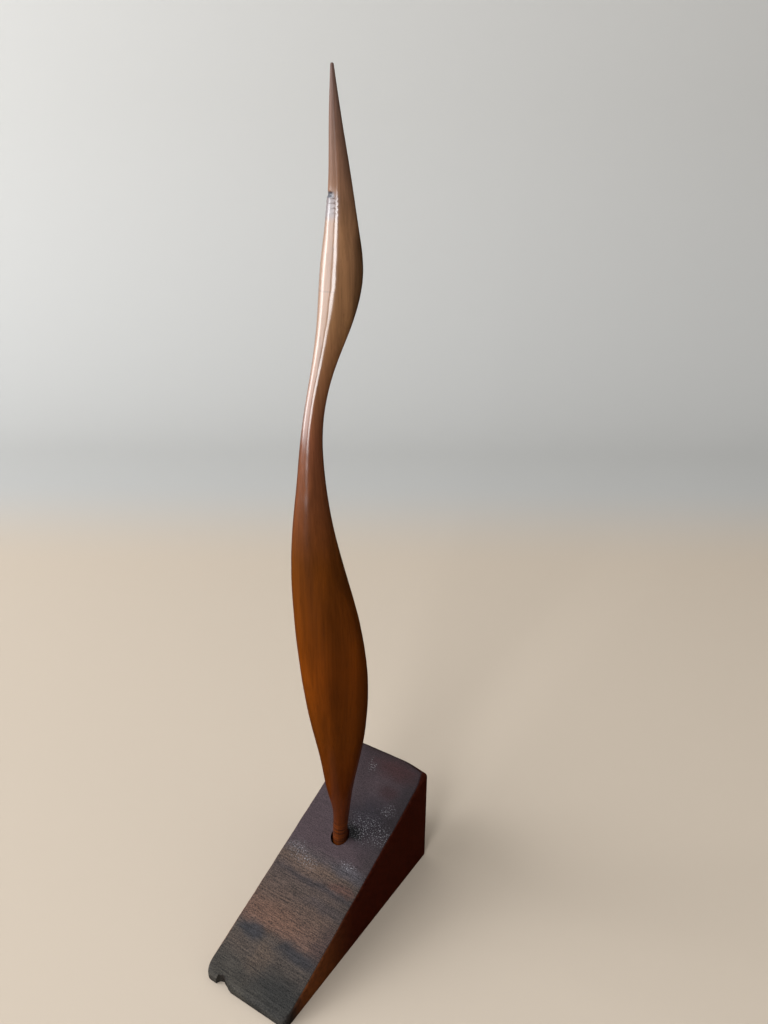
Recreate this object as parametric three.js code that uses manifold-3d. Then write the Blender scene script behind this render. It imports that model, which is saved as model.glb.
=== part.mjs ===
// A slim stylised wading bird carved from one stick of lacquered hardwood, its beak straight up.
// It stands by a round peg in a loose socket in the sloping top of a wedge-shaped plinth.
// Millimetres, +Z up. The origin is the middle of the plinth's underside, and the plinth's
// thin end points to -Y.

import * as THREE from 'three';
import { mergeVertices } from 'three/addons/utils/BufferGeometryUtils.js';
import Module from 'manifold-3d';

const wasm = await Module();
wasm.setup();

// The plinth, a wedge like a doorstop
const PLINTH_LENGTH = 127.5;
const PLINTH_WIDTH = 51;
const BACK_HEIGHT = 60.5;
const FRONT_HEIGHT = 4.3;
const NOSE_ROUNDING = 2.2;
const FRONT_CORNER_RADIUS = 4.5;
const BACK_CORNER_RADIUS = 1.5;

// The socket, drilled straight down and looser than the peg, which leans on its near side
const SOCKET = { x: 0.1, y: 15.4, diameter: 10, floor: 18 };
const PEG = { x: 0.6, y: 14.9, bottom: 18.4, chamfer: 0.8 };

// The chip broken out of the thin edge: its ends on the edge, its depth and its deepest place
const CHIP = { left: -17.6, right: -8.4, deepest: -14.6, depth: 2.5 };

// The bird has been turned in its socket, clockwise from above, off the plinth's length
const BIRD_TURN = -30;

// The bird at heights above the floor. Lean is how far its middle lies behind the peg's axis,
// depth is its size from breast to back, and width its size across.
const STATIONS = [
  { place: 'peg', height: 42, lean: 0, depth: 7.8, width: 7.8 },
  { place: 'shank', height: 56, lean: 0.8, depth: 8.6, width: 8.6 },
  { place: 'taper', height: 70, lean: 0.3, depth: 12.8, width: 12.4 },
  { place: 'tail', height: 90, lean: 0.8, depth: 20, width: 18 },
  { place: 'rump', height: 117, lean: 0.3, depth: 29, width: 24 },
  { place: 'belly', height: 150, lean: -2.2, depth: 32.5, width: 27 },
  { place: 'breast', height: 185, lean: -6.7, depth: 28, width: 23.5 },
  { place: 'shoulder', height: 215, lean: -10.2, depth: 20, width: 17 },
  { place: 'neck root', height: 243, lean: -10.7, depth: 12.5, width: 11 },
  { place: 'neck', height: 268, lean: -9.2, depth: 9, width: 8 },
  { place: 'nape', height: 290, lean: -4.2, depth: 10, width: 8.5 },
  { place: 'back of the head', height: 310, lean: 1.8, depth: 15.4, width: 12.6 },
  { place: 'crown', height: 330, lean: 4.9, depth: 17.6, width: 14.6 },
  { place: 'brow', height: 346, lean: 5.1, depth: 13.4, width: 11.4 },
  { place: 'beak root', height: 362, lean: 4.7, depth: 9.2, width: 8.4 },
  { place: 'beak', height: 382, lean: 3.2, depth: 5.2, width: 5 },
  { place: 'beak end', height: 401.5, lean: 2.1, depth: 1.3, width: 1.3 },
];
const TIP_HEIGHT = 402;

// The small cut across the throat: below it the throat stands a little proud
const THROAT_CUT = { height: 357.6, proud: 0.2, rise: 1.5, fade: 12, nick: 0.5, nickWidth: 0.9 };
const THROAT_WRAP = { full: 35, none: 70 };

// A cutting block runs this far past what it cuts
const CUT_PAST = 2;

// Facets of the carving
const BIRD_SIDES = 28;
const RING_STEP = 4.6;
const CUT_RING_OFFSETS = [-5, -2.6, -1.6, -1, -0.5, 0, 0.5, 1.1, 2];
const CORNER_STEPS = 6;
const CHIP_STEPS = 4;
const SOCKET_SIDES = 28;

const plinthWood = new THREE.MeshStandardMaterial({
  name: 'plinth_wood', color: '#4a3734', roughness: 0.7, metalness: 0,
});
const birdWood = new THREE.MeshStandardMaterial({
  name: 'bird_wood', color: '#7a3d14', roughness: 0.3, metalness: 0,
});

// A smooth curve through points, level at its lower end and without bend at its upper end
function smoothCurve(xs, ys) {
  const last = xs.length - 1;
  const gap = (i) => xs[i + 1] - xs[i];
  const rise = (i) => (ys[i + 1] - ys[i]) / gap(i);
  const pivot = [2 * gap(0)];
  const load = [6 * rise(0)];
  for (let i = 1; i < last; i += 1) {
    const share = gap(i - 1) / pivot[i - 1];
    pivot.push(2 * (gap(i - 1) + gap(i)) - share * gap(i - 1));
    load.push(6 * (rise(i) - rise(i - 1)) - share * load[i - 1]);
  }
  const bend = new Array(last + 1).fill(0);
  for (let i = last - 1; i >= 0; i -= 1) {
    bend[i] = (load[i] - gap(i) * bend[i + 1]) / pivot[i];
  }
  return (x) => {
    if (x <= xs[0]) return ys[0];
    let i = 0;
    while (i < last - 1 && x > xs[i + 1]) i += 1;
    const after = (x - xs[i]) / gap(i);
    const before = 1 - after;
    const curl = (before ** 3 - before) * bend[i] + (after ** 3 - after) * bend[i + 1];
    return before * ys[i] + after * ys[i + 1] + (curl * gap(i) ** 2) / 6;
  };
}

const heights = STATIONS.map((station) => station.height);
const leanAt = smoothCurve(heights, STATIONS.map((station) => station.lean));
const depthAt = smoothCurve(heights, STATIONS.map((station) => station.depth));
const widthAt = smoothCurve(heights, STATIONS.map((station) => station.width));

// How far the throat stands out of the plain oval at a height and an angle from the front
function throatRise(height, degreesFromFront) {
  const below = THROAT_CUT.height - height;
  const step = THREE.MathUtils.smoothstep(below, 0, THROAT_CUT.rise);
  const fading = Math.exp(-Math.max(below - THROAT_CUT.rise, 0) / THROAT_CUT.fade);
  const nick = THROAT_CUT.nick * Math.exp(-((below / THROAT_CUT.nickWidth) ** 2));
  const away = THREE.MathUtils.smoothstep(degreesFromFront, THROAT_WRAP.full, THROAT_WRAP.none);
  return (THROAT_CUT.proud * step * fading - nick) * (1 - away);
}

// One oval ring of the bird, seen from above, starting at its right side
function birdRing(height, inset = 0) {
  const ring = [];
  for (let i = 0; i < BIRD_SIDES; i += 1) {
    const angle = (2 * Math.PI * i) / BIRD_SIDES;
    const fromFront = Math.abs(THREE.MathUtils.radToDeg(angle) - 270);
    const rise = throatRise(height, Math.min(fromFront, 360 - fromFront)) - inset;
    ring.push(new THREE.Vector3(
      (widthAt(height) / 2 + rise) * Math.cos(angle),
      leanAt(height) + (depthAt(height) / 2 + rise) * Math.sin(angle),
      height,
    ));
  }
  return ring;
}

// Heights of the rings: even steps, and closer ones where the throat is cut
function ringHeights() {
  const near = CUT_RING_OFFSETS.map((offset) => THROAT_CUT.height + offset);
  const first = PEG.bottom + PEG.chamfer;
  const count = Math.round((heights.at(-1) - first) / RING_STEP);
  const even = [];
  for (let i = 0; i <= count; i += 1) {
    const height = THREE.MathUtils.lerp(first, heights.at(-1), i / count);
    if (near.every((cut) => Math.abs(cut - height) > RING_STEP / 2)) even.push(height);
  }
  return [...even, ...near].sort((a, b) => a - b);
}

// A closed skin over rings of the same number of points, with a point below and a point above
function skinRings(rings, bottom, top) {
  const sides = rings[0].length;
  const points = [...rings.flat(), bottom, top];
  const bottomIndex = points.length - 2;
  const topIndex = points.length - 1;
  const faces = [];
  for (let side = 0; side < sides; side += 1) {
    const next = (side + 1) % sides;
    faces.push(bottomIndex, next, side);
    for (let ring = 0; ring < rings.length - 1; ring += 1) {
      const low = ring * sides;
      const high = low + sides;
      faces.push(low + side, low + next, high + next);
      faces.push(low + side, high + next, high + side);
    }
    const crown = (rings.length - 1) * sides;
    faces.push(crown + side, crown + next, topIndex);
  }
  const geometry = new THREE.BufferGeometry().setFromPoints(points);
  geometry.setIndex(faces);
  geometry.computeVertexNormals();
  return geometry;
}

function makeBird() {
  const foot = birdRing(PEG.bottom, PEG.chamfer).map((point) => point.setZ(PEG.bottom));
  const rings = [foot, ...ringHeights().map((height) => birdRing(height))];
  const bottom = new THREE.Vector3(0, 0, PEG.bottom);
  const tip = new THREE.Vector3(0, STATIONS.at(-1).lean, TIP_HEIGHT);
  const bird = new THREE.Mesh(skinRings(rings, bottom, tip), birdWood);
  bird.name = 'bird';
  bird.position.set(PEG.x, PEG.y, 0);
  bird.rotation.z = THREE.MathUtils.degToRad(BIRD_TURN);
  return bird;
}

// Between three.js geometry and the solids that join and cut
function toSolid(geometry) {
  geometry.deleteAttribute('normal');
  geometry.deleteAttribute('uv');
  const merged = mergeVertices(geometry);
  return new wasm.Manifold(new wasm.Mesh({
    numProp: 3,
    vertProperties: Float32Array.from(merged.attributes.position.array),
    triVerts: Uint32Array.from(merged.index.array),
  }));
}

function toGeometry(solid) {
  const mesh = solid.getMesh();
  const geometry = new THREE.BufferGeometry();
  geometry.setAttribute('position', new THREE.BufferAttribute(mesh.vertProperties, 3));
  geometry.setIndex(new THREE.BufferAttribute(mesh.triVerts, 1));
  geometry.computeVertexNormals();
  return geometry;
}

// A slab with the wedge's side outline, drawn with +Y to the right and turned to face +X
function wedgeSlab() {
  const front = -PLINTH_LENGTH / 2;
  const back = PLINTH_LENGTH / 2;
  const slope = (BACK_HEIGHT - FRONT_HEIGHT) / PLINTH_LENGTH;
  const side = new THREE.Shape();
  side.moveTo(front, 0);
  side.lineTo(back, 0);
  side.lineTo(back, BACK_HEIGHT);
  side.lineTo(front + NOSE_ROUNDING, FRONT_HEIGHT + slope * NOSE_ROUNDING);
  side.quadraticCurveTo(front, FRONT_HEIGHT, front, FRONT_HEIGHT - NOSE_ROUNDING);
  const slab = new THREE.ExtrudeGeometry(side, {
    depth: PLINTH_WIDTH, curveSegments: CORNER_STEPS, bevelEnabled: false,
  });
  slab.translate(0, 0, -PLINTH_WIDTH / 2);
  return slab.applyMatrix4(new THREE.Matrix4().makeBasis(
    new THREE.Vector3(0, 1, 0),
    new THREE.Vector3(0, 0, 1),
    new THREE.Vector3(1, 0, 0),
  ));
}

// A tall block with the plinth's outline from above, its upright corners rounded
function cornerBlock() {
  const halfWidth = PLINTH_WIDTH / 2;
  const halfLength = PLINTH_LENGTH / 2;
  const outline = new THREE.Shape();
  const corners = [
    { x: 1, y: -1, radius: FRONT_CORNER_RADIUS, from: -90 },
    { x: 1, y: 1, radius: BACK_CORNER_RADIUS, from: 0 },
    { x: -1, y: 1, radius: BACK_CORNER_RADIUS, from: 90 },
    { x: -1, y: -1, radius: FRONT_CORNER_RADIUS, from: 180 },
  ];
  for (const { x, y, radius, from } of corners) {
    const start = THREE.MathUtils.degToRad(from);
    const centreX = x * (halfWidth - radius);
    const centreY = y * (halfLength - radius);
    outline.absarc(centreX, centreY, radius, start, start + Math.PI / 2, false);
  }
  return new THREE.ExtrudeGeometry(outline, {
    depth: BACK_HEIGHT + 2 * CUT_PAST, curveSegments: CORNER_STEPS, bevelEnabled: false,
  }).translate(0, 0, -CUT_PAST);
}

// The wood missing from the thin edge, steep on its left and running out on its right
function chipBlock() {
  const edge = -PLINTH_LENGTH / 2;
  const inner = edge + CHIP.depth;
  const outside = edge - CUT_PAST;
  const outline = new THREE.Shape();
  outline.moveTo(CHIP.left, outside);
  outline.lineTo(CHIP.right, outside);
  outline.lineTo(CHIP.right, edge);
  outline.quadraticCurveTo(CHIP.deepest + CHIP.depth, edge + CHIP.depth / 2, CHIP.deepest, inner);
  outline.quadraticCurveTo(CHIP.left, inner, CHIP.left, edge);
  return new THREE.ExtrudeGeometry(outline, {
    depth: BACK_HEIGHT, curveSegments: CHIP_STEPS, bevelEnabled: false,
  }).translate(0, 0, -BACK_HEIGHT / 2);
}

function socketBore() {
  const bore = new THREE.CylinderGeometry(
    SOCKET.diameter / 2, SOCKET.diameter / 2, BACK_HEIGHT, SOCKET_SIDES,
  );
  bore.rotateX(Math.PI / 2);
  return bore.translate(SOCKET.x, SOCKET.y, SOCKET.floor + BACK_HEIGHT / 2);
}

function makePlinth() {
  const solid = toSolid(wedgeSlab())
    .intersect(toSolid(cornerBlock()))
    .subtract(toSolid(socketBore()))
    .subtract(toSolid(chipBlock()));
  const plinth = new THREE.Mesh(toGeometry(solid), plinthWood);
  plinth.name = 'plinth';
  return plinth;
}

const carvedBird = new THREE.Group();
carvedBird.add(makePlinth(), makeBird());

export default carvedBird;
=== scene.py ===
# A slim carved wooden bird, its beak straight up, standing by a peg in a wedge-shaped plinth.
# Metres, +Z up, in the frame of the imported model: the plinth's thin end points to -Y.

import math

import bmesh
import bpy
import numpy as np
from mathutils import Matrix, Vector, noise


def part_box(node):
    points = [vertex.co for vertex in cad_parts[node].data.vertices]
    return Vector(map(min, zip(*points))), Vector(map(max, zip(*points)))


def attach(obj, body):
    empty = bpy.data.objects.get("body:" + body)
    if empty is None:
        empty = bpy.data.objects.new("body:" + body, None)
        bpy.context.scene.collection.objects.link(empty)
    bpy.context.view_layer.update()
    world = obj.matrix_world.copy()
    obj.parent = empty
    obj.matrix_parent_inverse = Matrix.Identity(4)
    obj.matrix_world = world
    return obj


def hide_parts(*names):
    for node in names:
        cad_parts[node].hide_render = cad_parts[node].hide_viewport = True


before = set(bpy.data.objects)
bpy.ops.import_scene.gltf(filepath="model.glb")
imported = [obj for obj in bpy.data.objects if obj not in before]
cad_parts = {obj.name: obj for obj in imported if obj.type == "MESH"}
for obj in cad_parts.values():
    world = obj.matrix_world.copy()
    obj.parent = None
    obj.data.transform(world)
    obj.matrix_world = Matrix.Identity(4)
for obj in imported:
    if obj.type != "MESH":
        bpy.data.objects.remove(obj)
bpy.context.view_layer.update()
MM = 0.001

# The plinth, a wedge like a doorstop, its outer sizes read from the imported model
PLINTH_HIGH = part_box("plinth")[1]
HALF_WIDTH = PLINTH_HIGH.x
HALF_LENGTH = PLINTH_HIGH.y
BACK_HEIGHT = PLINTH_HIGH.z
FRONT_HEIGHT = 4.3 * MM
SLOPE = (BACK_HEIGHT - FRONT_HEIGHT) / (2 * HALF_LENGTH)
TOP_NORMAL = Vector((0, -SLOPE, 1)).normalized()
NOSE_ROUNDING = 2.2 * MM
FRONT_CORNER_RADIUS = 4.5 * MM
BACK_CORNER_RADIUS = 1.5 * MM
WORN_ARRIS = 1.1 * MM
FOOT_ARRIS = 0.5 * MM

# The socket, drilled straight down, and the peg that leans on its near side
SOCKET_PLACE = Vector((0.1, 15.4, 18)) * MM
SOCKET_RADIUS = 5 * MM
SOCKET_SIDES = 72
PEG_PLACE = Vector((0.6, 14.9, 0)) * MM
PEG_BOTTOM = 18.4 * MM
PEG_CHAMFER = 0.8 * MM

# The chip in the thin edge: its ends on the edge, its depth and its deepest place
CHIP_LEFT = -17.6 * MM
CHIP_RIGHT = -8.4 * MM
CHIP_DEEPEST = -14.6 * MM
CHIP_DEPTH = 2.5 * MM
CHIP_FADE = 9 * MM
CHIP_ARRIS = 0.5 * MM

# The corner that is worn most, at the back and the right
WORN_CORNER = Vector((25.5, 63.75, 60.5)) * MM
WORN_CORNER_ARRIS = 3.4 * MM
WORN_CORNER_REACH = 9 * MM

# The bird, turned clockwise from above off the plinth's length. At each height in millimetres:
# how far its middle lies behind the peg, its depth from breast to back, and its width.
BIRD_TURN = math.radians(-30)
STATIONS = [
    ("peg", 42, 0, 7.8, 7.8),
    ("shank", 56, 0.8, 8.6, 8.6),
    ("taper", 70, 0.3, 12.8, 12.4),
    ("tail", 90, 0.8, 20, 18),
    ("rump", 117, 0.3, 29, 24),
    ("belly", 150, -2.2, 32.5, 27),
    ("breast", 185, -6.7, 28, 23.5),
    ("shoulder", 215, -10.2, 20, 17),
    ("neck root", 243, -10.7, 12.5, 11),
    ("neck", 268, -9.2, 9, 8),
    ("nape", 290, -4.2, 10, 8.5),
    ("back of the head", 310, 1.8, 15.4, 12.6),
    ("crown", 330, 4.9, 17.6, 14.6),
    ("brow", 346, 5.1, 13.4, 11.4),
    ("beak root", 362, 4.7, 9.2, 8.4),
    ("beak", 382, 3.2, 5.2, 5),
    ("beak end", 401.5, 2.1, 1.3, 1.3),
]
TIP_HEIGHT = 402
BIRD_SIDES = 96
# Stretches of the bird, each with the step from ring to ring, in millimetres
RING_STRETCHES = [(19.2, 36, 1.5), (36, 54, 0.15), (54, 350, 0.9), (350, 362, 0.2), (362, 401.5, 0.7)]
TIP_RINGS = 5


def spaced(stretches):
    """Places along stretches of (start, end, step), each end shared with the next start."""
    places = [np.array([stretches[0][0]], float)]
    for start, end, step in stretches:
        count = max(1, round((end - start) / step))
        places.append(np.linspace(start, end, count + 1)[1:])
    return np.concatenate(places)


def smooth_curve(xs, ys):
    """A smooth curve through points, level at its lower end, without bend at its upper end."""
    xs, ys = np.array(xs, float), np.array(ys, float)
    gaps = np.diff(xs)
    rises = np.diff(ys) / gaps
    rows = np.eye(len(xs))
    load = np.zeros(len(xs))
    rows[0, :2] = 2 * gaps[0], gaps[0]
    load[0] = 6 * rises[0]
    for i in range(1, len(gaps)):
        rows[i, i - 1:i + 2] = gaps[i - 1], 2 * (gaps[i - 1] + gaps[i]), gaps[i]
        load[i] = 6 * (rises[i] - rises[i - 1])
    bends = np.linalg.solve(rows, load)

    def at(x):
        x = np.maximum(x, xs[0])
        i = np.clip(np.searchsorted(xs, x, side="right") - 1, 0, len(gaps) - 1)
        after = (x - xs[i]) / gaps[i]
        before = 1 - after
        curl = (before**3 - before) * bends[i] + (after**3 - after) * bends[i + 1]
        return before * ys[i] + after * ys[i + 1] + curl * gaps[i] ** 2 / 6

    return at


class Bench:
    """Lays out one node tree. An input is a number, a vector, a colour or a node's output."""

    def __init__(self, tree):
        self.tree = tree

    def feed(self, socket, value):
        if isinstance(value, bpy.types.NodeSocket):
            self.tree.links.new(value, socket)
        elif value is not None:
            socket.default_value = value

    def add(self, kind, settings=(), **inputs):
        """A new node. Inputs are named as in the node, with _ for a space."""
        made = self.tree.nodes.new(kind)
        for name, value in dict(settings).items():
            setattr(made, name, value)
        for name, value in inputs.items():
            self.feed(made.inputs[name.replace("_", " ")], value)
        return made

    def math(self, operation, *values, clamp=False):
        made = self.add("ShaderNodeMath", {"operation": operation, "use_clamp": clamp})
        for socket, value in zip(made.inputs, values):
            self.feed(socket, value)
        return made.outputs[0]

    def product(self, *values):
        total = values[0]
        for value in values[1:]:
            total = self.math("MULTIPLY", total, value)
        return total

    def total(self, *values):
        total = values[0]
        for value in values[1:]:
            total = self.math("ADD", total, value)
        return total

    def vector(self, operation, *values, scale=None):
        made = self.add("ShaderNodeVectorMath", {"operation": operation})
        for socket, value in zip(made.inputs, values):
            self.feed(socket, value)
        if scale is not None:
            self.feed(made.inputs["Scale"], scale)
        return made.outputs["Value" if operation in ("DOT_PRODUCT", "LENGTH") else "Vector"]

    def split(self, vector):
        return self.add("ShaderNodeSeparateXYZ", Vector=vector).outputs

    def join(self, x, y, z):
        return self.add("ShaderNodeCombineXYZ", X=x, Y=y, Z=z).outputs[0]

    def fade(self, value, start, end, low=0.0, high=1.0):
        """Low before start, high past end, and smooth between them."""
        made = self.add("ShaderNodeMapRange", {"interpolation_type": "SMOOTHSTEP"}, Value=value)
        for name, number in zip(("From Min", "From Max", "To Min", "To Max"), (start, end, low, high)):
            self.feed(made.inputs[name], number)
        return made.outputs[0]

    def noise(self, vector, scale, detail=2.0, roughness=0.5, distortion=0.0):
        return self.add("ShaderNodeTexNoise", Vector=vector, Scale=scale, Detail=detail,
                        Roughness=roughness, Distortion=distortion).outputs[0]

    def stretched(self, vector, x, y, z):
        """The vector with each axis multiplied, which draws a pattern out along the small ones."""
        return self.vector("MULTIPLY", vector, (x, y, z))

    def ramp(self, value, stops):
        """A colour that runs through stops of (place from 0 to 1, colour)."""
        made = self.add("ShaderNodeValToRGB", Fac=value)
        elements = made.color_ramp.elements
        while len(elements) < len(stops):
            elements.new(1.0)
        for element, (place, colour) in zip(elements, stops):
            element.position = place
            element.color = (*colour, 1)
        return made.outputs["Color"]

    def mix(self, factor, under, over, blend="MIX"):
        made = self.add("ShaderNodeMix", {"data_type": "RGBA", "blend_type": blend})
        self.feed(made.inputs[0], factor)
        for socket, value in ((made.inputs[6], under), (made.inputs[7], over)):
            self.feed(socket, (*value, 1) if isinstance(value, tuple) else value)
        return made.outputs[2]

    def tint(self, colour, amount):
        """The colour made lighter or darker by a number about 1."""
        return self.vector("SCALE", colour, scale=amount)

    def place(self, origin, turn=0.0):
        """Object coordinates in millimetres, seen from an origin and turned about +Z."""
        seen = self.add("ShaderNodeTexCoord").outputs["Object"]
        made = self.add("ShaderNodeMapping", {"vector_type": "TEXTURE"}, Vector=seen,
                        Location=origin, Rotation=(0, 0, turn), Scale=(MM, MM, MM))
        return made.outputs[0]

    def bump(self, height, depth, normal=None):
        """Fine relief, its full depth in millimetres."""
        return self.add("ShaderNodeBump", Height=height, Distance=depth * MM, Strength=1.0,
                        Normal=normal).outputs[0]


def new_material(name, **finish):
    """A material with its shader, whose even values are set on the shader's own sockets."""
    material = bpy.data.materials.new(name)
    material.use_nodes = True
    bench = Bench(material.node_tree)
    shader = material.node_tree.nodes["Principled BSDF"]
    for name_, value in finish.items():
        shader.inputs[name_.replace("_", " ")].default_value = value
    return material, bench, shader


# Camera, matched to the photo: where it stands and which way it looks
CAMERA_PLACE = (0.2019, -0.2574, 0.3700)
CAMERA_HEADING = math.radians(32.77)
CAMERA_PITCH = math.radians(23.03)
CAMERA_ROLL = math.radians(0.4376)
CAMERA_LENS = 29.18
CAMERA_SENSOR = 36
AHEAD = Vector((-math.sin(CAMERA_HEADING), math.cos(CAMERA_HEADING), 0))


def make_camera():
    data = bpy.data.cameras.new("camera")
    data.lens = CAMERA_LENS
    data.sensor_width = CAMERA_SENSOR
    camera = bpy.data.objects.new("camera", data)
    looking = (Matrix.Rotation(CAMERA_HEADING, 4, "Z")
               @ Matrix.Rotation(math.pi / 2 - CAMERA_PITCH, 4, "X")
               @ Matrix.Rotation(CAMERA_ROLL, 4, "Z"))
    camera.matrix_world = Matrix.Translation(CAMERA_PLACE) @ looking
    bpy.context.scene.collection.objects.link(camera)
    bpy.context.scene.camera = camera


# Tall soft panels: azimuth and distance from the bird, width, lower and upper end, brightness,
# colour, and whether they light matt surfaces and are mirrored in gloss
PANELS = [
    ("left_wall", 167, 1.0, 0.76, 0.05, 1.2, 0.8, (0.96, 0.98, 1.0), False, True),
    ("left_pane", -148, 1.7, 0.50, 0.05, 2.0, 4.4, (0.96, 0.98, 1.0), True, True),
    ("pale_window", -134, 1.7, 2.70, 0.05, 2.0, 3.6, (0.96, 0.97, 1.0), True, True),
    ("front_pane", -78, 1.7, 0.52, 0.05, 2.0, 8.0, (0.95, 0.97, 1.0), True, True),
    ("right_fill", 15, 1.7, 1.60, 0.05, 2.0, 0.5, (1.0, 0.97, 0.94), True, False),
]
ROOM_WALL = (0.84, 0.88, 0.90)
ROOM_DARK = (0.36, 0.34, 0.32)
ROOM_STRENGTH = 0.7


def make_lights():
    for name, azimuth, distance, width, low, high, brightness, colour, lights, mirrored in PANELS:
        data = bpy.data.lights.new(name, "AREA")
        data.shape = "RECTANGLE"
        data.size = width
        data.size_y = high - low
        data.energy = math.pi * brightness * width * (high - low)
        data.color = colour
        panel = bpy.data.objects.new(name, data)
        panel.visible_camera = False
        panel.visible_diffuse = lights
        panel.visible_glossy = mirrored
        angle = math.radians(azimuth)
        away = Vector((math.cos(angle), math.sin(angle), 0))
        panel.location = PEG_PLACE + away * distance + Vector((0, 0, (low + high) / 2))
        panel.rotation_euler = away.to_track_quat("Z", "Y").to_euler()
        bpy.context.scene.collection.objects.link(panel)


def make_room():
    """A room that is pale behind the bird and dim behind the camera, and not mirrored in gloss."""
    world = bpy.data.worlds.new("room")
    bpy.context.scene.world = world
    world.use_nodes = True
    bench = Bench(world.node_tree)
    seen = bench.add("ShaderNodeTexCoord").outputs["Generated"]
    towards_wall = bench.fade(bench.vector("DOT_PRODUCT", seen, AHEAD), -0.5, 0.7)
    background = world.node_tree.nodes["Background"]
    bench.feed(background.inputs["Color"], bench.mix(towards_wall, ROOM_DARK, ROOM_WALL))
    background.inputs["Strength"].default_value = ROOM_STRENGTH
    world.cycles_visibility.glossy = False
    bpy.context.scene.view_settings.view_transform = "Standard"


# The pale sweep: a floor that turns up into a wall, square to the camera's heading
SWEEP_FRONT = -3.0
SWEEP_BACK = 0.75
SWEEP_COVE = 0.45
SWEEP_HEIGHT = 2.6
SWEEP_HALF_WIDTH = 3.5
SWEEP_COVE_STEPS = 24
SWEEP_FLOOR = (0.56, 0.48, 0.39)
SWEEP_WALL = (0.49, 0.49, 0.475)
SWEEP_FADE = (400, 640)


def make_sweep():
    line = [(SWEEP_FRONT, 0.0)]
    for i in range(SWEEP_COVE_STEPS + 1):
        angle = math.pi / 2 * i / SWEEP_COVE_STEPS
        line.append((SWEEP_BACK + SWEEP_COVE * math.sin(angle), SWEEP_COVE * (1 - math.cos(angle))))
    line.append((SWEEP_BACK + SWEEP_COVE, SWEEP_HEIGHT))
    points = [(side * SWEEP_HALF_WIDTH, along, up) for along, up in line for side in (-1, 1)]
    faces = [(2 * i, 2 * i + 1, 2 * i + 3, 2 * i + 2) for i in range(len(line) - 1)]
    mesh = bpy.data.meshes.new("sweep")
    mesh.from_pydata(points, [], faces)
    mesh.shade_smooth()
    mesh.transform(Matrix.Rotation(CAMERA_HEADING, 4, "Z"))
    material, bench, shader = new_material("pale_sweep", Roughness=1.0, Specular_IOR_Level=0.0)
    along = bench.vector("DOT_PRODUCT", bench.place((0, 0, 0)), AHEAD)
    tone = bench.mix(bench.fade(along, *SWEEP_FADE), SWEEP_FLOOR, SWEEP_WALL)
    bench.feed(shader.inputs["Base Color"], tone)
    mesh.materials.append(material)
    sweep = bpy.data.objects.new("sweep", mesh)
    sweep.visible_glossy = False
    bpy.context.scene.collection.objects.link(sweep)


# Lacquered wood of the bird: its tone at heights in millimetres, from the peg to the beak's tip
BIRD_TONES = [
    (30, (0.064, 0.014, 0.001)),
    (56, (0.058, 0.011, 0.001)),
    (75, (0.062, 0.012, 0.001)),
    (110, (0.074, 0.017, 0.001)),
    (150, (0.104, 0.023, 0.001)),
    (205, (0.088, 0.023, 0.002)),
    (262, (0.140, 0.046, 0.020)),
    (310, (0.220, 0.108, 0.046)),
    (345, (0.210, 0.105, 0.050)),
    (365, (0.140, 0.072, 0.044)),
    (402, (0.110, 0.066, 0.054)),
]
# A dark grain figure runs up the body, and painted shade darkens the head's side away from the lamps. Both
# are measured from the stick's middle towards one direction: distance, half-width, ends and how dark they
# are.
FIGURE_AND_SHADE_TURN = math.radians(66)
FIGURE_AND_HEAD_SHADE = [
    # dark grain figure on the body
    (0.0, 4.5, (58, 80, 175, 230), 0.75),
    # painted shade on the head's side away from the lamps
    (11.3, 3.3, (284, 300, 338, 354), 0.5),
]
# Marks and painted light round the front of the head: height, reach up and down, degrees to each side,
# colour and strength. The first is painted shade in the cut, the second a painted bluish reflection below
# it, the third a hair crack.
HEAD_LEAN = 4.9
HEAD_MARKS_AND_PAINTED_LIGHT = [
    # painted shade in the throat cut
    (357.4, 1.6, 45, (0.020, 0.024, 0.032), 0.9),
    # painted bluish reflection below the cut
    (353.0, 6.0, 70, (0.110, 0.120, 0.150), 0.6),
    (322.0, 0.5, 60, (0.060, 0.030, 0.020), 0.3),
]


# Strength of the lacquer's gloss on the body and on the beak, and the heights in millimetres
# between which it rises to full at the neck and falls off at the beak's root
BODY_GLOSS = 0.3
BEAK_GLOSS = 0.08
GLOSS_RISE = (218, 262)
GLOSS_FALL = (352, 362)


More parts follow.
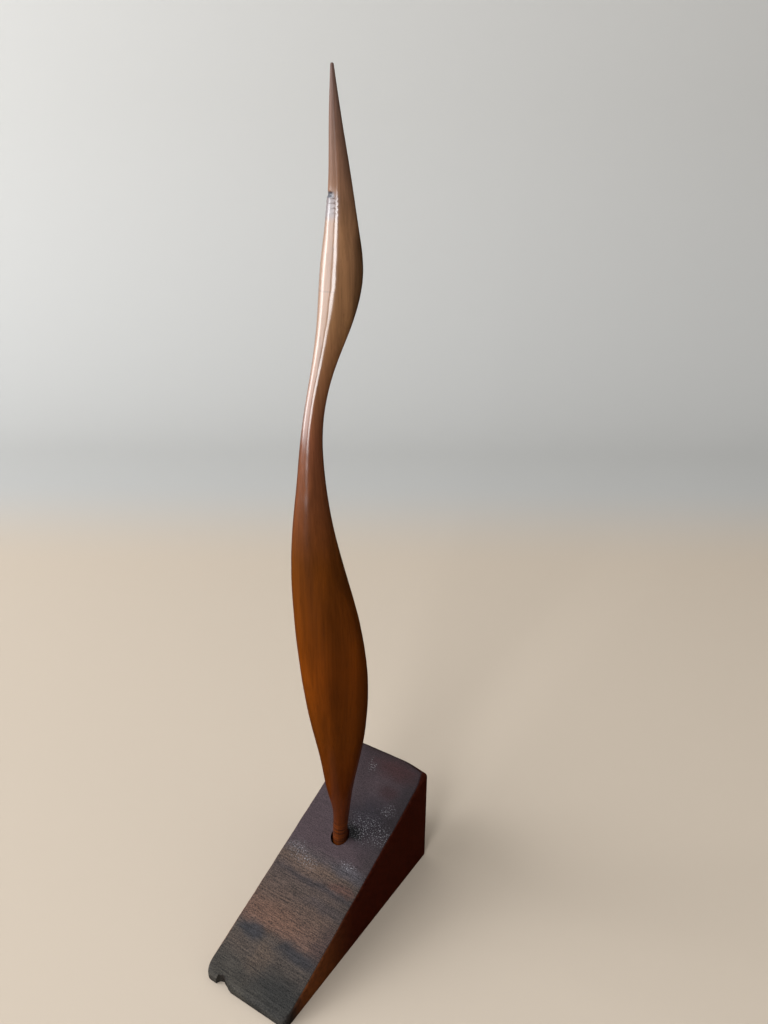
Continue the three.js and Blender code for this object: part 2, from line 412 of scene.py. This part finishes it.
def lacquered_wood():
    material, bench, shader = new_material(
        "lacquered_wood", Roughness=0.40, IOR=1.12, Coat_Roughness=0.17, Coat_IOR=1.9,
    )
    here = bench.place(PEG_PLACE, BIRD_TURN)
    height = bench.split(here)[2]
    tone = bench.ramp(bench.math("DIVIDE", height, TIP_HEIGHT),
                      [(at / TIP_HEIGHT, colour) for at, colour in BIRD_TONES])

    # Grain along the stick: broad bands, finer fibres in them, and short dark pores
    bands = bench.noise(bench.stretched(here, 0.16, 0.16, 0.006), 1.0, 2.0, 0.55, 0.6)
    fibres = bench.noise(bench.stretched(here, 1.1, 1.1, 0.02), 1.0, 3.0, 0.6, 0.2)
    pores = bench.noise(bench.stretched(here, 2.4, 2.4, 0.12), 1.0, 2.0, 0.6)
    tone = bench.tint(tone, bench.fade(bands, 0.25, 0.75, 0.80, 1.20))
    tone = bench.tint(tone, bench.fade(fibres, 0.3, 0.7, 0.88, 1.12))
    tone = bench.tint(tone, bench.fade(pores, 0.58, 0.75, 1.0, 0.75))

    # The dark grain figure on the body and the painted shade on the head's side, wavering along the stick
    waver = bench.noise(bench.stretched(here, 0.05, 0.05, 0.012), 1.0, 2.0)
    across = bench.vector("DOT_PRODUCT", here, (math.cos(FIGURE_AND_SHADE_TURN), math.sin(FIGURE_AND_SHADE_TURN), 0))
    for middle, half, (low, low_full, high_full, high), darkest in FIGURE_AND_HEAD_SHADE:
        drift = bench.fade(waver, 0.2, 0.8, -0.9 * half - middle, 0.9 * half - middle)
        off = bench.math("ABSOLUTE", bench.total(across, drift))
        figure_and_shade = bench.product(bench.fade(off, 0.3 * half, 1.6 * half, 1.0, 0.0),
                               bench.fade(height, low, low_full),
                               bench.fade(height, high_full, high, 1.0, 0.0))
        tone = bench.tint(tone, bench.fade(figure_and_shade, 0.0, 1.0, 1.0, darkest))

    # Filed rings round the peg, light and dark
    rings = bench.noise(bench.stretched(here, 0.08, 0.08, 1.1), 1.0, 1.0)
    filed = bench.product(bench.fade(height, 36.0, 39.0), bench.fade(height, 46.0, 56.0, 1.0, 0.0))
    ringed = bench.product(bench.fade(rings, 0.35, 0.65, -0.45, 0.45), filed)
    tone = bench.tint(tone, bench.total(ringed, 1.0))

    # Painted shade in the cut across the throat, a painted bluish reflection below it, and a hair crack
    # round the front of the head
    head_middle = (0, HEAD_LEAN, 0)
    radial = bench.vector("MULTIPLY", bench.vector("SUBTRACT", here, head_middle), (1, 1, 0))
    frontness = bench.product(bench.split(bench.vector("NORMALIZE", radial))[1], -1.0)
    for middle, reach, width, colour, strength in HEAD_MARKS_AND_PAINTED_LIGHT:
        far = bench.math("ABSOLUTE", bench.total(height, -middle))
        mark = bench.product(bench.fade(far, 0.4 * reach, reach, strength, 0.0),
                             bench.fade(frontness, math.cos(math.radians(width)), 0.98))
        tone = bench.mix(mark, tone, colour)
    bench.feed(shader.inputs["Base Color"], tone)

    # The lacquer is dull on the body and worn off the beak
    gloss = bench.product(bench.fade(height, *GLOSS_RISE, BODY_GLOSS, 1.0),
                          bench.fade(height, *GLOSS_FALL, 1.0, BEAK_GLOSS))
    bench.feed(shader.inputs["Coat Weight"], gloss)

    relief = bench.bump(bench.fade(pores, 0.3, 0.7), 0.02)
    bench.feed(shader.inputs["Normal"], relief)
    return material


# Cut across the throat, carved unevenness and filed rings, in millimetres and degrees
BIRD_SIZES = {
    "Throat Height": 357.6,
    "Throat Proud": 0.2,
    "Throat Rise": 1.5,
    "Throat Fade": 12.0,
    "Nick Depth": 0.5,
    "Nick Width": 0.9,
    "Cut Full": 14.0,
    "Cut None": 42.0,
    "Knife Waves": 0.07,
    "Knife Pitch": 1.9,
    "Knife Full": 40.0,
    "Knife None": 70.0,
    "Carving Depth": 0.16,
    "Filed Depth": 0.12,
    "Filed Pitch": 0.9,
    "Filed Low": 36.0,
    "Filed High": 52.0,
    "Turn": BIRD_TURN,
}


def bird_spine():
    """One point for each ring of the bird, with that ring's depth and width, in millimetres."""
    heights = [row[1] for row in STATIONS]
    lean_at, depth_at, width_at = (
        smooth_curve(heights, [row[column] for row in STATIONS]) for column in (2, 3, 4)
    )
    places = spaced(RING_STRETCHES)
    rows = [(0.0, lean_at(z), z, depth_at(z), width_at(z)) for z in places]
    foot = PEG_BOTTOM / MM
    shrunk = 2 * PEG_CHAMFER / MM
    rows.insert(0, (0.0, lean_at(foot), foot, depth_at(foot) - shrunk, width_at(foot) - shrunk))
    last = rows[-1]
    for i in range(1, TIP_RINGS + 1):
        angle = math.pi / 2 * i / (TIP_RINGS + 0.5)
        rise = (TIP_HEIGHT - last[2]) * math.sin(angle)
        rows.append((0.0, last[1], last[2] + rise, last[3] * math.cos(angle), last[4] * math.cos(angle)))
    mesh = bpy.data.meshes.new("bird_spine")
    mesh.from_pydata([row[:3] for row in rows], [], [])
    for name, column in (("depth", 3), ("width", 4)):
        values = mesh.attributes.new(name, "FLOAT", "POINT").data
        values.foreach_set("value", [row[column] for row in rows])
    return mesh


def carving_tree(material):
    """The tree that skins the spine with ovals, cuts the throat and files the peg."""
    tree = bpy.data.node_groups.new("carved_bird", "GeometryNodeTree")
    face = tree.interface
    face.new_socket("Spine", in_out="INPUT", socket_type="NodeSocketGeometry")
    face.new_socket("Sides", in_out="INPUT", socket_type="NodeSocketInt")
    for name in BIRD_SIZES:
        face.new_socket(name, in_out="INPUT", socket_type="NodeSocketFloat")
    face.new_socket("Peg Place", in_out="INPUT", socket_type="NodeSocketVector")
    face.new_socket("Wood", in_out="INPUT", socket_type="NodeSocketMaterial")
    face.new_socket("Bird", in_out="OUTPUT", socket_type="NodeSocketGeometry")
    bench = Bench(tree)
    size = bench.add("NodeGroupInput").outputs

    # A plain round tube with one ring for each point of the spine
    rings = bench.add("GeometryNodeAttributeDomainSize", Geometry=size["Spine"]).outputs[0]
    spans = bench.math("SUBTRACT", rings, 1.0)
    tube = bench.add("GeometryNodeMeshCylinder", {"fill_type": "TRIANGLE_FAN"},
                     Vertices=size["Sides"], Side_Segments=spans, Fill_Segments=1,
                     Radius=1.0, Depth=spans).outputs["Mesh"]
    position = bench.add("GeometryNodeInputPosition").outputs[0]
    across, along, up = bench.split(position)
    ring = bench.math("ROUND", bench.total(up, bench.math("DIVIDE", spans, 2.0)))

    def at_ring(kind, field):
        made = bench.add("GeometryNodeSampleIndex", {"data_type": kind, "domain": "POINT"})
        bench.feed(made.inputs["Geometry"], size["Spine"])
        bench.feed(made.inputs["Value"], field)
        bench.feed(made.inputs["Index"], ring)
        return made.outputs[0]

    def spine_value(name):
        field = bench.add("GeometryNodeInputNamedAttribute", {"data_type": "FLOAT"}, Name=name)
        return at_ring("FLOAT", field.outputs[0])

    _, lean, height = bench.split(at_ring("FLOAT_VECTOR", position))
    depth, width = spine_value("depth"), spine_value("width")

    # The cut across the throat, and knife waves on the wood below it
    below = bench.math("SUBTRACT", size["Throat Height"], height)
    step = bench.fade(below, 0.0, size["Throat Rise"])
    past = bench.math("MAXIMUM", bench.math("SUBTRACT", below, size["Throat Rise"]), 0.0)
    fading = bench.math("EXPONENT", bench.math("DIVIDE", bench.product(past, -1.0), size["Throat Fade"]))
    share = bench.math("DIVIDE", below, size["Nick Width"])
    hollow = bench.math("EXPONENT", bench.product(share, share, -1.0))
    cut = bench.total(bench.product(size["Throat Proud"], step, fading),
                      bench.product(hollow, size["Nick Depth"], -1.0))
    front = bench.math("DEGREES", bench.math("ARCCOSINE", bench.product(along, -1.0)))
    cut_side = bench.fade(front, size["Cut Full"], size["Cut None"], 1.0, 0.0)
    wander = bench.noise(bench.join(across, along, bench.product(height, 0.25)), 1.0, 1.0)
    strokes = bench.total(bench.math("DIVIDE", bench.product(below, math.tau), size["Knife Pitch"]),
                          bench.product(wander, 9.0))
    knife_side = bench.fade(front, size["Knife Full"], size["Knife None"], 1.0, 0.0)
    waves = bench.product(bench.math("SINE", strokes), size["Knife Waves"], step, fading, knife_side)
    throat = bench.total(bench.product(cut, cut_side), waves)

    # The slight unevenness of hand work, which fades where the wood is thin
    spread = bench.join(across, along, bench.product(height, 0.055))
    lumps = bench.math("SUBTRACT", bench.noise(spread, 1.0, 2.0), 0.5)
    stout = bench.fade(width, 1.0, 14.0)
    uneven = bench.product(lumps, 2.0, size["Carving Depth"], stout)

    # Filed rings on the peg, of uneven depth
    turns = bench.math("DIVIDE", height, size["Filed Pitch"])
    files = bench.noise(bench.join(bench.product(across, 0.7), bench.product(along, 0.7), turns), 1.0, 1.0)
    low_end = bench.fade(height, size["Filed Low"], bench.total(size["Filed Low"], 3.0))
    high_end = bench.fade(height, bench.total(size["Filed High"], -6.0), size["Filed High"], 1.0, 0.0)
    filed = bench.product(bench.fade(files, 0.35, 0.65, -1.0, 0.0), size["Filed Depth"], low_end, high_end)

    rise = bench.total(throat, uneven, filed)
    side_reach = bench.total(bench.product(width, 0.5), rise)
    back_reach = bench.total(bench.product(depth, 0.5), rise)
    placed = bench.join(bench.product(across, side_reach),
                        bench.total(lean, bench.product(along, back_reach)), height)
    skin = bench.add("GeometryNodeSetPosition", Geometry=tube, Position=placed).outputs[0]
    turned = bench.add("GeometryNodeTransform", Geometry=skin, Translation=size["Peg Place"],
                       Rotation=bench.join(0.0, 0.0, size["Turn"]), Scale=(MM, MM, MM)).outputs[0]
    smooth = bench.add("GeometryNodeSetShadeSmooth", Geometry=turned).outputs[0]
    real = bench.add("GeometryNodeRealizeInstances", Geometry=smooth).outputs[0]
    finished = bench.add("GeometryNodeSetMaterial", Geometry=real, Material=size["Wood"]).outputs[0]
    bench.add("NodeGroupOutput", Bird=finished)

    values = {"Sides": BIRD_SIDES, **BIRD_SIZES, "Peg Place": PEG_PLACE, "Wood": material}
    return tree, values


def make_bird():
    spine = bpy.data.objects.new("bird_spine", bird_spine())
    bpy.context.scene.collection.objects.link(spine)
    tree, values = carving_tree(lacquered_wood())
    modifier = spine.modifiers.new("carving", "NODES")
    modifier.node_group = tree
    for socket in tree.interface.items_tree:
        if socket.in_out == "INPUT" and socket.name in values:
            modifier[socket.identifier] = values[socket.name]
    ready = bpy.context.evaluated_depsgraph_get()
    mesh = bpy.data.meshes.new_from_object(spine.evaluated_get(ready), depsgraph=ready)
    bpy.data.objects.remove(spine)
    mesh.name = "carved_bird"
    bird = bpy.data.objects.new("carved_bird", mesh)
    bpy.context.scene.collection.objects.link(bird)
    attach(bird, "root")
    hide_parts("bird")


# Weathered wood of the plinth's top, by place along it in millimetres from the thin edge
TOP_BANDS = [
    (0, (0.030, 0.026, 0.020)),
    (9, (0.031, 0.026, 0.021)),
    (17, (0.050, 0.036, 0.028)),
    (24, (0.040, 0.032, 0.027)),
    (29, (0.076, 0.043, 0.032)),
    (40, (0.066, 0.040, 0.029)),
    (49, (0.053, 0.036, 0.029)),
    (55, (0.048, 0.033, 0.029)),
    (61, (0.060, 0.040, 0.030)),
    (65, (0.048, 0.036, 0.036)),
    (70, (0.045, 0.029, 0.033)),
    (105, (0.043, 0.028, 0.032)),
    (127.5, (0.030, 0.018, 0.021)),
]
# Stains, painted shadow and painted shade on the top: colour, strength, middle (x, y), half-width and
# half-length, softness of the rim
STAINS_AND_PAINTED_SHADE = [
    # dark stain together with the painted shadow the bird casts behind the peg
    ("dark stain and painted shadow behind the peg", (0.010, 0.009, 0.014), 0.75, (10, 28), (13, 11), 0.7),
    # painted shadow beside the peg
    ("painted shadow at the peg", (0.002, 0.002, 0.002), 0.95, (5.5, 19.5), (6, 3), 0.6),
    ("shade at the right", (0.012, 0.008, 0.010), 0.85, (26, 36), (12, 30), 0.8),
    # painted shade on the right of the top, towards the thin end
    ("painted shade at the right front", (0.018, 0.014, 0.012), 0.5, (27, -25), (8, 40), 0.8),
    ("red bruise", (0.026, 0.008, 0.009), 0.6, (11, 44.5), (5, 3.5), 0.7),
    ("red bruise at the back", (0.032, 0.009, 0.009), 0.75, (9, 56.5), (13, 5), 0.7),
    ("tan rub", (0.081, 0.050, 0.035), 0.7, (-6, -4), (14, 3.2), 0.8),
    ("blue-grey bloom", (0.043, 0.039, 0.045), 0.7, (15, 1.5), (10, 3), 0.7),
    ("rust", (0.063, 0.028, 0.020), 0.7, (17, -6.6), (8, 2), 0.7),
    ("dark line", (0.015, 0.014, 0.018), 0.5, (4, -9.8), (24, 1.3), 0.7),
    ("dark back edge", (0.016, 0.006, 0.006), 0.7, (0, 64), (40, 3), 0.8),
    ("cool rub", (0.031, 0.024, 0.025), 0.6, (14, -17), (13, 2.6), 0.7),
    ("rust rub", (0.098, 0.050, 0.032), 0.75, (-8, -31), (18, 5.5), 0.7),
    ("purple end", (0.035, 0.019, 0.017), 0.7, (24, -31), (6, 8), 0.8),
    ("dark band at the left", (0.018, 0.018, 0.022), 0.85, (-14, -39.8), (8, 3.0), 0.6),
    ("dark band at the right", (0.018, 0.017, 0.020), 0.85, (13, -39.8), (13, 3.0), 0.6),
    ("brown streak", (0.060, 0.040, 0.028), 0.7, (-3, -47), (5, 8), 0.8),
    ("dark right end", (0.013, 0.013, 0.012), 0.8, (15, -56), (15, 9), 0.7),
]
# Places of white specks: middle (x, y), half-width and half-length
SPECKLED = [
    ((12, 24), (12, 6)),
    ((-17, 1.5), (5, 3.5)),
    ((13.5, 4), (4, 2)),
    ((17, 36), (4, 3)),
    ((-6, 55), (1.5, 4)),
    ((-10, -2), (8, 3)),
]
SPECK_COLOUR = (0.30, 0.29, 0.31)
SIDE_RED = (0.040, 0.0055, 0.0015)
SIDE_ORANGE = (0.105, 0.030, 0.007)
SIDE_NOSE = (0.016, 0.012, 0.010)


def weathered_wood():
    material, bench, shader = new_material("weathered_wood", IOR=1.34)
    here = bench.place((0, 0, 0))
    x, y, z = bench.split(here)
    coordinate = bench.add("ShaderNodeTexCoord").outputs["Normal"]
    facing_up = bench.vector("DOT_PRODUCT", coordinate, TOP_NORMAL)
    edge = HALF_LENGTH / MM
    nose = bench.product(bench.fade(y, 3.5 - edge, 0.8 - edge), bench.fade(z, 0.3, 1.0))
    on_top = bench.math("MAXIMUM", bench.fade(facing_up, 0.80, 0.95), nose)

    # Bands across the top, then stains, painted shadow and painted shade with wavering rims
    cloud = bench.add("ShaderNodeTexNoise", Vector=bench.stretched(here, 0.11, 0.16, 0.0), Scale=1.0,
                      Detail=3.0, Roughness=0.65).outputs["Color"]
    shift = bench.vector("MULTIPLY", bench.vector("SUBTRACT", cloud, (0.5, 0.5, 0.5)), (14.0, 5.0, 0.0))
    warped = bench.vector("ADD", here, shift)
    back_from_edge = bench.total(bench.split(warped)[1], edge)
    length = 2 * edge
    paint = bench.ramp(bench.math("DIVIDE", back_from_edge, length),
                       [(at / length, colour) for at, colour in TOP_BANDS])

    def spot(middle, reach, softness):
        centred = bench.vector("SUBTRACT", warped, (*middle, 0))
        scaled = bench.vector("MULTIPLY", centred, (1 / reach[0], 1 / reach[1], 0))
        far = bench.vector("LENGTH", scaled)
        return bench.fade(far, 1 - softness, 1 + softness, 1.0, 0.0)

    for _, colour, strength, middle, reach, softness in STAINS_AND_PAINTED_SHADE:
        paint = bench.mix(bench.product(spot(middle, reach, softness), strength), paint, colour)

    # Fibres across the top, plain at the back and rough towards the thin edge, and speckle
    rough_part = bench.fade(y, 8.0, 0.0)
    fibres = bench.noise(bench.stretched(here, 0.09, 1.3, 0.0), 1.0, 3.0, 0.65)
    strength = bench.fade(rough_part, 0.0, 1.0, 0.12, 0.45)
    streak = bench.product(bench.fade(fibres, 0.28, 0.72, -1.0, 1.0), strength)
    grit = bench.noise(bench.stretched(here, 1.5, 1.9, 1.5), 1.0, 2.0, 0.8)
    contrast = bench.fade(rough_part, 0.0, 1.0, 0.48, 0.75)
    grain = bench.product(bench.fade(grit, 0.25, 0.75, -1.0, 1.0), contrast)
    paint = bench.tint(paint, bench.total(streak, grain, 1.0))
    speckled = 0.0
    for middle, reach in SPECKLED:
        speckled = bench.math("MAXIMUM", speckled, spot(middle, reach, 0.6))
    dust = bench.noise(bench.stretched(here, 1.1, 1.5, 0.0), 1.0, 3.0, 0.8)
    specks = bench.product(bench.fade(dust, 0.55, 0.64), speckled)
    paint = bench.mix(bench.product(specks, 0.8), paint, SPECK_COLOUR)

    # Sides: dark red end grain, a warmer brown at the thin end, and a soiled tip
    warm = bench.fade(y, -5.0, -45.0)
    soiled = bench.fade(y, 16.0 - edge, 3.0 - edge)
    side = bench.mix(soiled, bench.mix(warm, SIDE_RED, SIDE_ORANGE), SIDE_NOSE)
    end_grain = bench.noise(bench.stretched(here, 0.05, 0.5, 0.5), 1.0, 3.0, 0.65)
    side = bench.tint(side, bench.fade(end_grain, 0.3, 0.7, 0.7, 1.3))
    bench.feed(shader.inputs["Base Color"], bench.mix(on_top, side, paint))
    bench.feed(shader.inputs["Roughness"], bench.fade(on_top, 0.0, 1.0, 0.38, 0.72))

    fuzz = bench.noise(bench.stretched(here, 0.5, 2.2, 0.0), 1.0, 4.0, 0.7)
    relief = bench.bump(bench.product(fuzz, on_top), 0.25)
    bench.feed(shader.inputs["Normal"], relief)
    return material


def eased(first, second, radius):
    """Distance outside two faces that meet in an edge rounded to a radius."""
    corner = np.hypot(np.maximum(first + radius, 0), np.maximum(second + radius, 0))
    return np.minimum(np.maximum(first, second), -radius) + corner


def top_height(y):
    return FRONT_HEIGHT + SLOPE * (y + HALF_LENGTH)


def outside_wedge(points, arris):
    """Distance of points outside the wedge, before its chip and socket."""
    x, y, z = points.T
    plan = eased(np.abs(x) - HALF_WIDTH, -y - HALF_LENGTH, FRONT_CORNER_RADIUS)
    plan = eased(plan, y - HALF_LENGTH, BACK_CORNER_RADIUS)
    top = (z - top_height(y)) / math.hypot(1, SLOPE)
    return eased(eased(plan, top, arris), -z, FOOT_ARRIS)


PROBE = 0.01 * MM
SETTLE_ROUNDS = 8


def settled(points, arris):
    """Points moved onto the rounded wedge."""
    for _ in range(SETTLE_ROUNDS):
        off = outside_wedge(points, arris)
        steepest = np.stack([
            (outside_wedge(points + PROBE * axis, arris) - outside_wedge(points - PROBE * axis, arris))
            / (2 * PROBE)
            for axis in np.eye(3)
        ], axis=1)
        strength = np.maximum((steepest**2).sum(axis=1), 0.1)
        points = points - steepest * (off / strength)[:, None]
    return points


def smoothstep(value, start, end):
    share = np.clip((value - start) / (end - start), 0, 1)
    return share * share * (3 - 2 * share)


def rough(points, stretch, seed):
    """Smooth noise from -1 to 1 at points, whose millimetres are multiplied by stretch."""
    shifted = points / MM * np.array(stretch) + seed
    return np.array([noise.noise(Vector(point)) for point in shifted])


def chip_depth(x):
    """How far the chip reaches in from the thin edge: steep at its left, thin at its right."""
    left = np.clip((CHIP_DEEPEST - x) / (CHIP_DEEPEST - CHIP_LEFT), 0, 1)
    right = np.clip((x - CHIP_DEEPEST) / (CHIP_RIGHT - CHIP_DEEPEST), 0, 1)
    steep = 1 - (1 - np.sqrt(1 - left)) ** 2
    return CHIP_DEPTH * np.where(x < CHIP_DEEPEST, steep, (1 - right) ** 1.15)


def lattice_skin(columns, rows, levels):
    """Grid places (i, j, k) on a box's skin, and its outward quads."""
    index = {}
    quads = []

    def corner(*place):
        return index.setdefault(place, len(index))

    def patch(first, second, at, outward):
        for a in range(first):
            for b in range(second):
                square = [corner(*at(a + i, b + j)) for i, j in ((0, 0), (1, 0), (1, 1), (0, 1))]
                quads.append(square if outward else square[::-1])

    for end in (0, 1):
        patch(columns, rows, lambda i, j: (i, j, end * levels), end == 1)
        patch(rows, levels, lambda j, k: (end * columns, j, k), end == 1)
        patch(levels, columns, lambda k, i: (i, end * rows, k), end == 1)
    return np.array(list(index)), quads


# Grid lines across and along the plinth, in millimetres, close together at edges and chip
PLINTH_COLUMNS = [(-25.5, -19.5, 0.4), (-19.5, -7, 0.22), (-7, 19.5, 0.9), (19.5, 25.5, 0.4)]
PLINTH_ROWS = [(-63.75, -57, 0.35), (-57, 8, 0.5), (8, 60, 0.8), (60, 63.75, 0.35)]
PLINTH_LEVELS = 36


def plinth_mesh():
    across = spaced(PLINTH_COLUMNS) * MM
    along = spaced(PLINTH_ROWS) * MM
    up = 0.5 - 0.5 * np.cos(np.pi * np.arange(PLINTH_LEVELS + 1) / PLINTH_LEVELS)
    places, quads = lattice_skin(len(across) - 1, len(along) - 1, PLINTH_LEVELS)
    x, y = across[places[:, 0]], along[places[:, 1]]
    points = np.stack([x, y, up[places[:, 2]] * top_height(y)], axis=1)

    # Arrises: wide at the nose, sharp in the chip, and unevenly worn elsewhere
    near_nose = 1 - smoothstep(y, -HALF_LENGTH + NOSE_ROUNDING, -HALF_LENGTH + 3 * NOSE_ROUNDING)
    in_chip = smoothstep(chip_depth(x), 0, CHIP_DEPTH / 4) * near_nose
    worn = WORN_ARRIS * (1 + 0.35 * rough(points, (0.12, 0.12, 0.12), 7.0))
    off_corner = np.linalg.norm(points - np.array(WORN_CORNER), axis=1)
    worn = worn + WORN_CORNER_ARRIS * np.exp(-((off_corner / WORN_CORNER_REACH) ** 2))
    arris = worn + (NOSE_ROUNDING - worn) * near_nose
    arris = arris + (CHIP_ARRIS - arris) * in_chip
    points = settled(points, arris)

    # Relief of the weathered top, drawn out across the plinth
    x, y, z = points.T
    on_top = smoothstep(z - top_height(y), -WORN_ARRIS, 0)
    banded = 0.4 + 0.6 * (1 - smoothstep(y, 0, 8 * MM))
    ridges = 0.10 * MM * rough(points, (0.04, 0.9, 0), 3.0) * banded
    hollows = 0.12 * MM * rough(points, (0.08, 0.08, 0), 5.0)
    points = points + (on_top * (ridges + hollows))[:, None] * np.array(TOP_NORMAL)

    # The chip pulls the thin edge in
    x, y, z = points.T
    reach = chip_depth(x) * (1 + 0.12 * rough(points, (0.9, 0.3, 0.9), 11.0))
    pull = reach * (1 - smoothstep(y, -HALF_LENGTH, -HALF_LENGTH + CHIP_FADE))
    level = np.clip(z / top_height(y), 0, 1)
    points = points + np.stack([np.zeros_like(pull), pull, pull * SLOPE * level], axis=1)

    mesh = bpy.data.meshes.new("wedge_plinth")
    mesh.from_pydata([tuple(point) for point in points], [], quads)
    return mesh


def cut_with(piece, cutter):
    """Cuts one object out of another and removes the cutter."""
    modifier = piece.modifiers.new("cut", "BOOLEAN")
    modifier.operation = "DIFFERENCE"
    modifier.solver = "EXACT"
    modifier.object = cutter
    ready = bpy.context.evaluated_depsgraph_get()
    piece.data = bpy.data.meshes.new_from_object(piece.evaluated_get(ready), depsgraph=ready)
    piece.modifiers.clear()
    bpy.data.objects.remove(cutter)


def socket_drill():
    body = bmesh.new()
    tall = BACK_HEIGHT
    lifted = Matrix.Translation(SOCKET_PLACE + Vector((0, 0, tall / 2)))
    bmesh.ops.create_cone(body, cap_ends=True, segments=SOCKET_SIDES, radius1=SOCKET_RADIUS,
                          radius2=SOCKET_RADIUS, depth=tall, matrix=lifted)
    mesh = bpy.data.meshes.new("drill")
    body.to_mesh(mesh)
    body.free()
    drill = bpy.data.objects.new("drill", mesh)
    bpy.context.scene.collection.objects.link(drill)
    return drill


def make_plinth():
    plinth = bpy.data.objects.new("wedge_plinth", plinth_mesh())
    bpy.context.scene.collection.objects.link(plinth)
    cut_with(plinth, socket_drill())
    plinth.data.materials.clear()
    plinth.data.materials.append(weathered_wood())
    plinth.data.shade_smooth()
    plinth.data.set_sharp_from_angle(angle=math.radians(40))
    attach(plinth, "root")
    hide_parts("plinth")


make_camera()
make_lights()
make_room()
make_sweep()
make_bird()
make_plinth()
